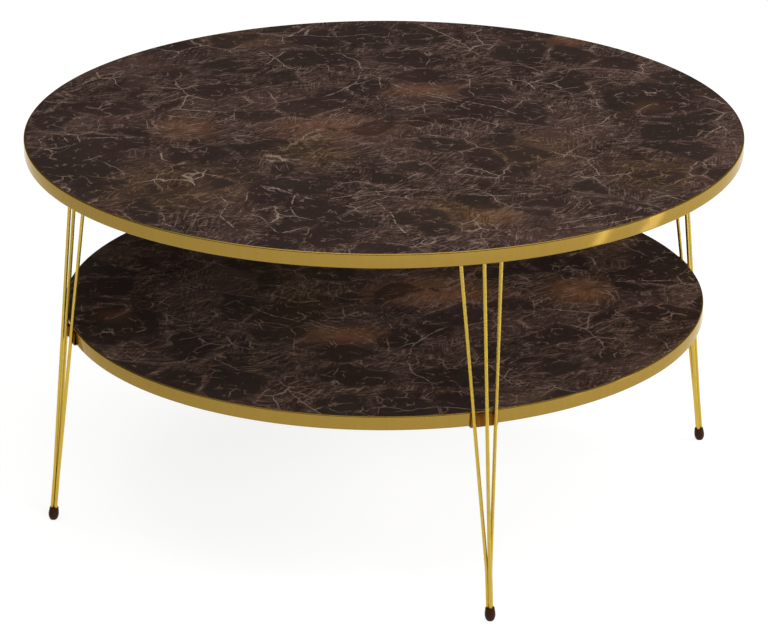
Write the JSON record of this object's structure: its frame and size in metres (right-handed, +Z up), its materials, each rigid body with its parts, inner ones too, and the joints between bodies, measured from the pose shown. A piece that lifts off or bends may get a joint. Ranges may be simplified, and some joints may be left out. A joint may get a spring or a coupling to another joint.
{
  "type": "coffee table with shelf",
  "caption": "Round low table with a smaller round shelf below the top, both edged in gold, on splayed legs of gold rods that meet at capped feet.",
  "frame": {"origin": "on the floor, under the centre of the top", "axes": "+Z up; the legs stand at 45 degrees between the X and Y axes, and -Y is the front"},
  "size_m": [0.8999, 0.8999, 0.48],
  "materials": {
    "marble_laminate": "satin sheet printed with dark brown marble",
    "board_core": "raw fibreboard",
    "backing_laminate": "plain dark brown melamine sheet",
    "gold_edge_band": "edge strip with satin gold foil",
    "gold_steel": "steel with glossy yellow gold plating",
    "bronze_steel": "steel with brown-gold lacquer",
    "foot_cap": "moulded dark brown plastic",
    "screw_steel": "bright zinc"
  },
  "bodies": {
    "root": {"top_face_laminate": "marble_laminate", "top_core": "board_core", "top_backing_laminate": "backing_laminate", "top_edge_band": "gold_edge_band", "shelf_face_laminate": "marble_laminate", "shelf_core": "board_core", "shelf_backing_laminate": "backing_laminate", "shelf_edge_band": "gold_edge_band", "front_right_leg_left_rod": "gold_steel", "front_right_leg_centre_rod": "gold_steel", "front_right_leg_right_rod": "gold_steel", "front_right_leg_mounting_plate": "gold_steel", "front_right_leg_shelf_bracket": "bronze_steel", "front_right_leg_foot_cap": "foot_cap", "back_right_leg_left_rod": "gold_steel", "back_right_leg_centre_rod": "gold_steel", "back_right_leg_right_rod": "gold_steel", "back_right_leg_mounting_plate": "gold_steel", "back_right_leg_shelf_bracket": "bronze_steel", "back_right_leg_foot_cap": "foot_cap", "back_left_leg_left_rod": "gold_steel", "back_left_leg_centre_rod": "gold_steel", "back_left_leg_right_rod": "gold_steel", "back_left_leg_mounting_plate": "gold_steel", "back_left_leg_shelf_bracket": "bronze_steel", "back_left_leg_foot_cap": "foot_cap", "front_left_leg_left_rod": "gold_steel", "front_left_leg_centre_rod": "gold_steel", "front_left_leg_right_rod": "gold_steel", "front_left_leg_mounting_plate": "gold_steel", "front_left_leg_shelf_bracket": "bronze_steel", "front_left_leg_foot_cap": "foot_cap", "plate_welds": "gold_steel", "bracket_welds": "bronze_steel", "plate_screws": "screw_steel", "bracket_screws": "screw_steel"}
  },
  "joints": []
}
